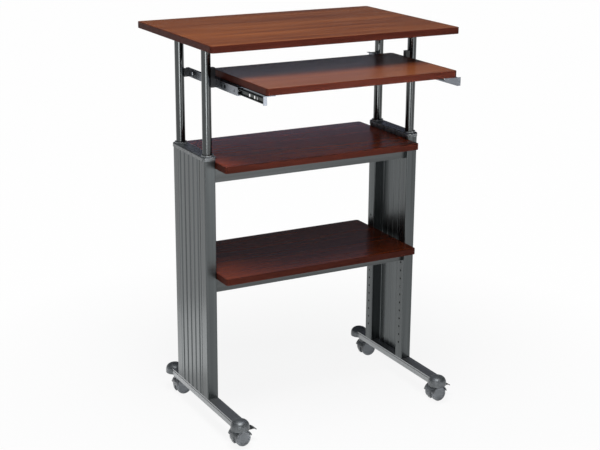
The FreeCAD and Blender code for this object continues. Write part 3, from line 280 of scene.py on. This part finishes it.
def wood_grain():
    """Streaks and pores of a wood-look laminate, running along X."""
    if "Wood grain" in bpy.data.node_groups:
        return bpy.data.node_groups["Wood grain"]
    tree, given, result = new_group(
        "Wood grain",
        [("Vector", "NodeSocketVector", None), ("Streak width", "NodeSocketFloat", 1.0)],
        ["Streak", "Pore"],
    )
    place, width = given.outputs["Vector"], given.outputs["Streak width"]
    bend = noise(tree, place, scale=3.0, detail=2.0)["Color"]
    sway = vector_arithmetic(tree, "SUBTRACT", bend, NOISE_MIDDLE)
    swayed = vector_arithmetic(tree, "MULTIPLY_ADD", sway, GRAIN_SWAY, place)
    broad_place = vector_arithmetic(tree, "MULTIPLY", swayed, BROAD_STREAKS)
    broad = noise(tree, broad_place, scale=width, detail=4.0, Roughness=0.6)["Fac"]
    fine_place = vector_arithmetic(tree, "MULTIPLY", swayed, FINE_STREAKS)
    fine = noise(tree, fine_place, scale=1.0, detail=2.0)["Fac"]
    both = arithmetic(tree, "MULTIPLY_ADD", fine, FINE_SHARE, broad)
    streak = rescale(tree, both, *STREAK_RANGE, *FULL_RANGE)
    pore_place = vector_arithmetic(tree, "MULTIPLY", swayed, PORES)
    specks = noise(tree, pore_place, scale=1.0, detail=1.0)["Fac"]
    pore = rescale(tree, specks, *PORE_RANGE, *FULL_RANGE)
    tree.links.new(streak, result.inputs["Streak"])
    tree.links.new(pore, result.inputs["Pore"])
    return tree


def surface_variation():
    """Fine speckle, broad unevenness and handling marks, for the metal and plastic finishes."""
    if "Surface variation" in bpy.data.node_groups:
        return bpy.data.node_groups["Surface variation"]
    tree, given, result = new_group(
        "Surface variation",
        [
            ("Vector", "NodeSocketVector", None),
            ("Speckle scale", "NodeSocketFloat", 900.0),
            ("Broad scale", "NodeSocketFloat", 14.0),
        ],
        ["Speckle", "Broad", "Marks"],
    )
    place = given.outputs["Vector"]
    speckle = noise(tree, place, scale=given.outputs["Speckle scale"], detail=1.0)["Fac"]
    broad = noise(tree, place, scale=given.outputs["Broad scale"], detail=3.0)["Fac"]
    scuffs = noise(tree, place, scale=70.0, detail=5.0, Roughness=0.7, Distortion=0.6)["Fac"]
    marks = rescale(tree, scuffs, *MARK_RANGE, *FULL_RANGE)
    tree.links.new(speckle, result.inputs["Speckle"])
    tree.links.new(broad, result.inputs["Broad"])
    tree.links.new(marks, result.inputs["Marks"])
    return tree


def grain_of(tree, shift=(0.0, 0.0, 0.0), width=1.0):
    """The outputs of the wood grain group, placed in a material."""
    inputs = {"Vector": object_place(tree, shift=shift), "Streak width": width}
    return put(tree, "ShaderNodeGroup", inputs, node_tree=wood_grain()).outputs


def variation_of(tree, stretch, speckle, broad):
    """The outputs of the surface variation group, placed in a material."""
    inputs = {
        "Vector": object_place(tree, stretch), "Speckle scale": speckle, "Broad scale": broad
    }
    return put(tree, "ShaderNodeGroup", inputs, node_tree=surface_variation()).outputs


# Finishes


def new_material(name):
    """A material with only a Principled shader joined to its output."""
    material = bpy.data.materials.new(name)
    material.use_nodes = True
    tree = material.node_tree
    tree.nodes.clear()
    shader = put(tree, "ShaderNodeBsdfPrincipled")
    put(tree, "ShaderNodeOutputMaterial", {"Surface": shader.outputs[0]})
    return material, tree, shader


def wood_laminate(name, shift, tone_and_painted_light, figure):
    """Wood-look laminate over a plain backer.

    The shift moves the pattern; the third argument scales its colours, which on some boards paints
    light and shadow; the figure parts its streaks.
    """
    tints = bpy.context.scene.desk_colours
    dark = tuple(part * share for part, share in zip(tints.wood_dark, tone_and_painted_light))
    light = tuple(part * share for part, share in zip(tints.wood_light, tone_and_painted_light))
    material, tree, shader = new_material(name)
    grain = grain_of(tree, shift)
    parted = (0.5 - figure / 2.0, 0.5 + figure / 2.0)
    figured = rescale(tree, grain["Streak"], *FULL_RANGE, *parted)
    wood = blend(tree, figured, dark, light)
    pores = arithmetic(tree, "MULTIPLY", grain["Pore"], PORE_SHARE)
    pored = blend(tree, pores, wood, PORE_COLOUR)
    facing = put(tree, "ShaderNodeTexCoord").outputs["Normal"]
    upness = put(tree, "ShaderNodeSeparateXYZ", {0: facing}).outputs["Z"]
    under = rescale(tree, upness, *UNDERSIDE_RANGE, *FULL_RANGE)
    base = blend(tree, under, pored, tuple(tints.backer))
    tree.links.new(base, shader.inputs["Base Color"])
    sheen = rescale(tree, grain["Streak"], *FULL_RANGE, *WOOD_ROUGHNESS)
    rough = arithmetic(tree, "MULTIPLY_ADD", under, BACKER_DULLNESS, sheen)
    tree.links.new(rough, shader.inputs["Roughness"])
    add_relief(tree, shader, grain["Pore"], strength=0.12, distance=0.0003, sunk=True)
    for socket, value in WOOD_GLOSS.items():
        shader.inputs[socket].default_value = value
    return material


def band_plastic():
    """Dark wood-tone edge band with faint streaks along it."""
    deep = tuple(bpy.context.scene.desk_colours.band)
    material, tree, shader = new_material("edge band")
    grain = grain_of(tree, width=2.0)
    base = blend(tree, grain["Streak"], deep, toned(deep, BAND_STREAK))
    tree.links.new(base, shader.inputs["Base Color"])
    rough = rescale(tree, grain["Streak"], *FULL_RANGE, *BAND_ROUGHNESS)
    tree.links.new(rough, shader.inputs["Roughness"])
    shader.inputs["Specular IOR Level"].default_value = BAND_SPECULAR
    add_relief(tree, shader, grain["Pore"], strength=0.1, distance=0.0002, sunk=True)
    return material


def coated_metal(name, tint, metallic, roughness, stretch, marks):
    """Metal with a coat: unevenness drawn out by stretch, fine flecks and rubbed marks."""
    material, tree, shader = new_material(name)
    lined = variation_of(tree, stretch, speckle=700.0, broad=60.0)
    even = variation_of(tree, EVENLY, speckle=900.0, broad=14.0)
    uneven = vary(tree, lined["Broad"], *FULL_RANGE)
    streaks = blend(tree, uneven, toned(tint, COAT_DARK), toned(tint, COAT_LIGHT))
    flecks = rescale(tree, even["Speckle"], *FLECK_RANGE, 0.0, FLECK_SHARE)
    flecked = blend(tree, flecks, streaks, toned(tint, COAT_FLECK))
    rubbed = arithmetic(tree, "MULTIPLY", even["Marks"], marks)
    base = blend(tree, rubbed, flecked, toned(tint, COAT_RUBBED))
    tree.links.new(base, shader.inputs["Base Color"])
    shader.inputs["Metallic"].default_value = metallic
    rough = vary(tree, lined["Broad"], roughness - COAT_PLAY, roughness + COAT_PLAY)
    tree.links.new(rough, shader.inputs["Roughness"])
    add_relief(tree, shader, lined["Speckle"], strength=0.08, distance=0.0002)
    return material


def moulded_plastic(name, tint, roughness, grain_depth, marks):
    """Moulded plastic with a fine grained skin, broad unevenness and scuffs."""
    material, tree, shader = new_material(name)
    skin = variation_of(tree, EVENLY, speckle=1400.0, broad=30.0)
    uneven = vary(tree, skin["Broad"], *FULL_RANGE)
    mottled = blend(tree, uneven, toned(tint, SKIN_DARK), toned(tint, SKIN_LIGHT))
    scuffed = arithmetic(tree, "MULTIPLY", skin["Marks"], marks)
    base = blend(tree, scuffed, mottled, toned(tint, SCUFF_LIGHT, SCUFF_LIFT))
    tree.links.new(base, shader.inputs["Base Color"])
    rough = vary(tree, skin["Speckle"], roughness - SKIN_PLAY, roughness + SKIN_PLAY)
    tree.links.new(rough, shader.inputs["Roughness"])
    add_relief(tree, shader, skin["Speckle"], strength=grain_depth, distance=0.0003)
    return material


def finish_nodes(names, material):
    """Give CAD nodes a material in place of their own."""
    for name in names:
        slots = NODES[name].data.materials
        slots.clear()
        slots.append(material)


# Operators, one for each group of like pieces


class DESK_OT_boards(bpy.types.Operator):
    """Finish the desk top, the keyboard tray, the shelves and their edge bands"""

    bl_idname = "desk.boards"
    bl_label = "Boards"

    def execute(self, context):
        # Each board's shift, colour scale and figure; the colour scales of the shelves and the tray
        # paint light, shadow and reflection
        sheets = {
            "desk_top": ((0.0, 0.0, 0.0), (1.0, 1.0, 0.9), 1.0),
            # The tray's bluer colour scale paints a bluish reflection onto it
            "keyboard_tray": ((1.9, 0.4, 0.2), (0.94, 1.04, 2.0), 1.0),
            # The middle shelf's redder, lighter colour scale paints light onto it
            "middle_shelf": ((2.9, 1.1, 0.7), (1.40, 0.82, 0.85), 0.55),
            # The lower shelf's darker colour scale paints shadow onto it
            "lower_shelf": ((4.1, 1.9, 1.3), (0.90, 0.60, 0.60), 0.6),
        }
        for name, look in sheets.items():
            title = name.replace("_", " ")
            finish_nodes([name], wood_laminate(f"{title} laminate", *look))
        finish_nodes(["desk_top_band", "keyboard_tray_band", "shelf_bands"], band_plastic())
        return {"FINISHED"}


class DESK_OT_posts(bpy.types.Operator):
    """Finish the telescoping posts, their plates, plugs, bushes and lock buttons"""

    bl_idname = "desk.posts"
    bl_label = "Posts"

    def execute(self, context):
        coat = coated_metal(
            "gunmetal coat", tuple(context.scene.desk_colours.post),
            metallic=1.0, roughness=0.12, stretch=DRAWN_Z, marks=0.15,
        )
        finish_nodes([f"{corner}_post" for corner in CORNERS], coat)
        plate = coated_metal(
            "black plate", PLATE_BLACK, metallic=0.3, roughness=0.42, stretch=SHEARED_Y, marks=0.3
        )
        finish_nodes([f"{side}_post_plate" for side in SIDES], plate)
        black = moulded_plastic(
            "black nylon", NYLON_BLACK, roughness=0.38, grain_depth=0.2, marks=0.2
        )
        finish_nodes(["post_plugs", "post_bushes", "column_base_plugs", "slide_blocks"], black)
        button = coated_metal(
            "button steel", BUTTON_STEEL, metallic=1.0, roughness=0.25, stretch=TURNED_X, marks=0.2
        )
        finish_nodes([f"{corner}_lock_button" for corner in CORNERS], button)
        return {"FINISHED"}


class DESK_OT_legs(bpy.types.Operator):
    """Finish the columns, the fluted panels, the leg caps and the shelf rails"""

    bl_idname = "desk.legs"
    bl_label = "Legs"

    def execute(self, context):
        tints = context.scene.desk_colours
        coat = coated_metal(
            "charcoal coat", tuple(tints.leg),
            metallic=1.0, roughness=0.30, stretch=ROLLED_Z, marks=0.2,
        )
        columns = [f"{corner}_column" for corner in CORNERS]
        finish_nodes(columns + [f"{side}_side_panel" for side in SIDES], coat)
        rail = coated_metal(
            "charcoal rail", tuple(tints.rail),
            metallic=1.0, roughness=0.34, stretch=ROLLED_X, marks=0.2,
        )
        finish_nodes([f"{shelf}_{end}_rail" for shelf in SHELVES for end in ENDS], rail)
        cap = coated_metal(
            "leg cap coat", tuple(tints.cap),
            metallic=0.5, roughness=0.28, stretch=EVENLY, marks=0.4,
        )
        finish_nodes([f"{side}_leg_cap" for side in SIDES], cap)
        return {"FINISHED"}


class DESK_OT_slides(bpy.types.Operator):
    """Finish the tray slides, the tray angles and the ball cages"""

    bl_idname = "desk.slides"
    bl_label = "Tray slides"

    def execute(self, context):
        zinc = coated_metal(
            "slide zinc", tuple(context.scene.desk_colours.slide),
            metallic=0.95, roughness=0.24, stretch=PRESSED_Y, marks=0.3,
        )
        plated = ("slide_channel", "tray_angle")
        finish_nodes([f"{side}_{piece}" for side in SIDES for piece in plated], zinc)
        dark = coated_metal(
            "runner coat", RUNNER_BLACK, metallic=0.9, roughness=0.30, stretch=PRESSED_Y, marks=0.3
        )
        finish_nodes([f"{side}_slide_runner" for side in SIDES], dark)
        ball = coated_metal(
            "ball steel", BALL_STEEL, metallic=1.0, roughness=0.2, stretch=POLISHED_Y, marks=0.1
        )
        finish_nodes(["ball_cages"], ball)
        return {"FINISHED"}


class DESK_OT_feet(bpy.types.Operator):
    """Finish the foot bars and their end caps"""

    bl_idname = "desk.feet"
    bl_label = "Feet"

    def execute(self, context):
        tints = context.scene.desk_colours
        coat = coated_metal(
            "foot coat", tuple(tints.foot),
            metallic=0.82, roughness=0.36, stretch=ROLLED_Y, marks=0.35,
        )
        finish_nodes([f"{side}_foot" for side in SIDES], coat)
        cap = coated_metal(
            "foot cap coat", tuple(tints.foot_cap),
            metallic=0.55, roughness=0.44, stretch=EVENLY, marks=0.2,
        )
        finish_nodes(["foot_end_caps"], cap)
        return {"FINISHED"}


class DESK_OT_casters(bpy.types.Operator):
    """Finish the caster hoods, wheels and brake levers"""

    bl_idname = "desk.casters"
    bl_label = "Casters"

    def execute(self, context):
        tints = context.scene.desk_colours
        hood = moulded_plastic(
            "caster hood plastic", tuple(tints.hood), roughness=0.36, grain_depth=0.2, marks=0.4
        )
        finish_nodes([f"{corner}_caster_hood" for corner in CORNERS], hood)
        wheel = moulded_plastic(
            "caster wheel plastic", tuple(tints.wheel), roughness=0.44, grain_depth=0.25, marks=0.5
        )
        finish_nodes([f"{corner}_caster_wheels" for corner in CORNERS], wheel)
        lever = moulded_plastic(
            "lever plastic", LEVER_BLACK, roughness=0.36, grain_depth=0.2, marks=0.3
        )
        finish_nodes([f"front_{side}_brake_lever" for side in SIDES], lever)
        return {"FINISHED"}


class DESK_OT_fasteners(bpy.types.Operator):
    """Finish the screws, bolts and caster stems"""

    bl_idname = "desk.fasteners"
    bl_label = "Fasteners"

    def execute(self, context):
        steel = coated_metal(
            "fastener steel", FASTENER_STEEL, metallic=1.0, roughness=0.3, stretch=EVENLY, marks=0.3
        )
        screws = [f"{place}_screws" for place in ("plate", "shelf", "tray", "slide")]
        finish_nodes([*screws, "leg_bolts", "caster_stems"], steel)
        return {"FINISHED"}


# Stage


def soft_lamp(name, place, target, size, watts, tint=WHITE, spread=math.pi, glare=True):
    """A rectangular area lamp that faces a target and stays out of the picture.

    Without glare it isn't mirrored in the pieces either.
    """
    lamp = bpy.data.lights.new(name, "AREA")
    lamp.shape = "RECTANGLE"
    lamp.size, lamp.size_y = size
    lamp.energy = watts
    lamp.color = tint
    lamp.spread = spread
    holder = bpy.data.objects.new(name, lamp)
    holder.visible_camera = False
    holder.visible_glossy = glare
    holder.location = place
    holder.rotation_euler = (Vector(target) - Vector(place)).to_track_quat("-Z", "Y").to_euler()
    bpy.context.scene.collection.objects.link(holder)


class DESK_OT_stage(bpy.types.Operator):
    """Set the floor, the white surroundings, the lamps and the camera"""

    bl_idname = "desk.stage"
    bl_label = "Stage"

    def execute(self, context):
        scene = context.scene
        scene.view_settings.view_transform = "Standard"
        self.set_floor(scene)
        self.set_world(scene)
        self.set_lamps(scene.desk_stage)
        self.set_camera(scene, scene.desk_stage)
        return {"FINISHED"}

    def set_floor(self, scene):
        """A wide white floor that keeps the soft shadow round the desk."""
        mesh = bpy.data.meshes.new("floor")
        shape = bmesh.new()
        bmesh.ops.create_grid(shape, x_segments=1, y_segments=1, size=FLOOR_REACH)
        shape.to_mesh(mesh)
        shape.free()
        floor = bpy.data.objects.new("floor", mesh)
        scene.collection.objects.link(floor)
        material = bpy.data.materials.new("floor paper")
        material.use_nodes = True
        tree = material.node_tree
        tree.nodes.clear()
        paper = put(tree, "ShaderNodeBsdfDiffuse", {"Color": (*FLOOR_GREY, 1.0)})
        white = put(tree, "ShaderNodeEmission", {"Color": (*WHITE, 1.0), "Strength": 1.0})
        path = put(tree, "ShaderNodeLightPath").outputs
        spot = put(tree, "ShaderNodeTexCoord").outputs["Object"]
        away = put(tree, "ShaderNodeVectorMath", {0: spot}, operation="LENGTH").outputs["Value"]
        fade = rescale(tree, away, *SHADOW_RANGE, *WHITE_RANGE)
        pale = arithmetic(tree, "MULTIPLY", path["Is Camera Ray"], fade)
        shiny = arithmetic(tree, "MAXIMUM", path["Is Glossy Ray"], path["Is Transmission Ray"])
        share = arithmetic(tree, "MAXIMUM", pale, shiny)
        shaders = {0: share, 1: paper.outputs[0], 2: white.outputs[0]}
        look = put(tree, "ShaderNodeMixShader", shaders)
        put(tree, "ShaderNodeOutputMaterial", {"Surface": look.outputs[0]})
        mesh.materials.append(material)

    def set_world(self, scene):
        """White to the camera and through glass; metal sees white only along the floor line.

        Above that line it sees a dim cool room, so that the tops keep their colour.
        """
        world = bpy.data.worlds.new("studio")
        world.use_nodes = True
        tree = world.node_tree
        tree.nodes.clear()
        room = {"Color": (*ROOM_COLOUR, 1.0), "Strength": ROOM_STRENGTH}
        dim = put(tree, "ShaderNodeBackground", room)
        white = put(tree, "ShaderNodeBackground", {"Color": (*WHITE, 1.0), "Strength": 1.0})
        path = put(tree, "ShaderNodeLightPath").outputs
        seen = arithmetic(tree, "MAXIMUM", path["Is Camera Ray"], path["Is Transmission Ray"])
        way = put(tree, "ShaderNodeTexCoord").outputs["Generated"]
        height = put(tree, "ShaderNodeSeparateXYZ", {0: way}).outputs["Z"]
        line = rescale(tree, height, *LINE_RANGE, 1.0, 0.0)
        mirrored = arithmetic(tree, "MULTIPLY", path["Is Glossy Ray"], line)
        share = arithmetic(tree, "MAXIMUM", seen, mirrored)
        shaders = {0: share, 1: dim.outputs[0], 2: white.outputs[0]}
        look = put(tree, "ShaderNodeMixShader", shaders)
        put(tree, "ShaderNodeOutputWorld", {"Surface": look.outputs[0]})
        scene.world = world

    def set_lamps(self, wanted):
        """A key and a fill lamp in front, and low ones that light the metal and the shelves."""
        soft_lamp(
            "key lamp", place=(-0.5, -0.75, 2.8), target=DESK_MIDDLE,
            size=(1.0, 1.0), watts=wanted.key,
        )
        soft_lamp(
            "fill lamp", place=(-0.9, -2.6, 3.0), target=DESK_MIDDLE,
            size=(1.4, 0.8), watts=wanted.fill,
        )
        soft_lamp(
            "floor lamp", place=(-0.56, 0.34, 0.015), target=(-0.35, 0.0, 2.0),
            size=(0.4, 0.6), watts=wanted.low,
        )
        soft_lamp(
            "left strip lamp", place=(-1.55, -2.25, 0.6), target=DESK_MIDDLE,
            size=(0.7, 0.8), watts=wanted.strip,
        )
        soft_lamp(
            "right strip lamp", place=(0.8, -2.4, 0.6), target=DESK_MIDDLE,
            size=(0.35, 0.8), watts=wanted.strip * RIGHT_STRIP_SHARE,
        )
        soft_lamp(
            "cool panel", place=(0.48, 0.93, 0.91), target=(0.48, 0.0, 0.90),
            size=(1.3, 0.08), watts=wanted.cool, tint=COOL_BLUE,
        )
        soft_lamp(
            "shelf lamp", place=(0.15, -1.7, 0.97), target=(0.0, 0.0, 0.87),
            size=(0.6, 0.05), watts=wanted.shelf, spread=SHELF_SPREAD, glare=False,
        )

    def set_camera(self, scene, wanted):
        """A camera at the place, turn and lean that the properties give."""
        turn, lift = wanted.azimuth, wanted.elevation
        reach = math.cos(lift)
        back = Vector((math.sin(turn) * reach, -math.cos(turn) * reach, math.sin(lift)))
        level = Vector((math.cos(turn), math.sin(turn), 0.0))
        upright = back.cross(level)
        right = level * math.cos(wanted.roll) + upright * math.sin(wanted.roll)
        above = upright * math.cos(wanted.roll) - level * math.sin(wanted.roll)
        lens = bpy.data.cameras.new("camera")
        lens.sensor_width = SENSOR_WIDTH
        lens.lens = wanted.lens
        camera = bpy.data.objects.new("camera", lens)
        facing = Matrix((right, above, back)).transposed().to_4x4()
        camera.matrix_world = Matrix.Translation(wanted.place) @ facing
        scene.collection.objects.link(camera)
        scene.camera = camera


OPERATORS = (
    DESK_OT_boards, DESK_OT_posts, DESK_OT_legs, DESK_OT_slides,
    DESK_OT_feet, DESK_OT_casters, DESK_OT_fasteners, DESK_OT_stage,
)


class DESK_PT_sidebar(bpy.types.Panel):
    """Lists the desk's finishes and the stage"""

    bl_idname = "DESK_PT_sidebar"
    bl_label = "Standing Desk"
    bl_space_type = "VIEW_3D"
    bl_region_type = "UI"
    bl_category = "Desk"

    def draw(self, context):
        for settings in (context.scene.desk_colours, context.scene.desk_stage):
            box = self.layout.box()
            for name in settings.__annotations__:
                box.prop(settings, name)
        for operator in OPERATORS:
            self.layout.operator(operator.bl_idname)


CLASSES = (DeskColours, DeskStage, *OPERATORS, DESK_PT_sidebar)


def register():
    """Register the classes and hang the properties on the scene."""
    for item in CLASSES:
        bpy.utils.register_class(item)
    bpy.types.Scene.desk_colours = bpy.props.PointerProperty(type=DeskColours)
    bpy.types.Scene.desk_stage = bpy.props.PointerProperty(type=DeskStage)


def unregister():
    """Take the properties and the classes away again."""
    del bpy.types.Scene.desk_stage
    del bpy.types.Scene.desk_colours
    for item in reversed(CLASSES):
        bpy.utils.unregister_class(item)


def main():
    """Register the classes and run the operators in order."""
    register()
    for operator in OPERATORS:
        group, _, name = operator.bl_idname.partition(".")
        getattr(getattr(bpy.ops, group), name)()


if __name__ == "__main__":
    main()
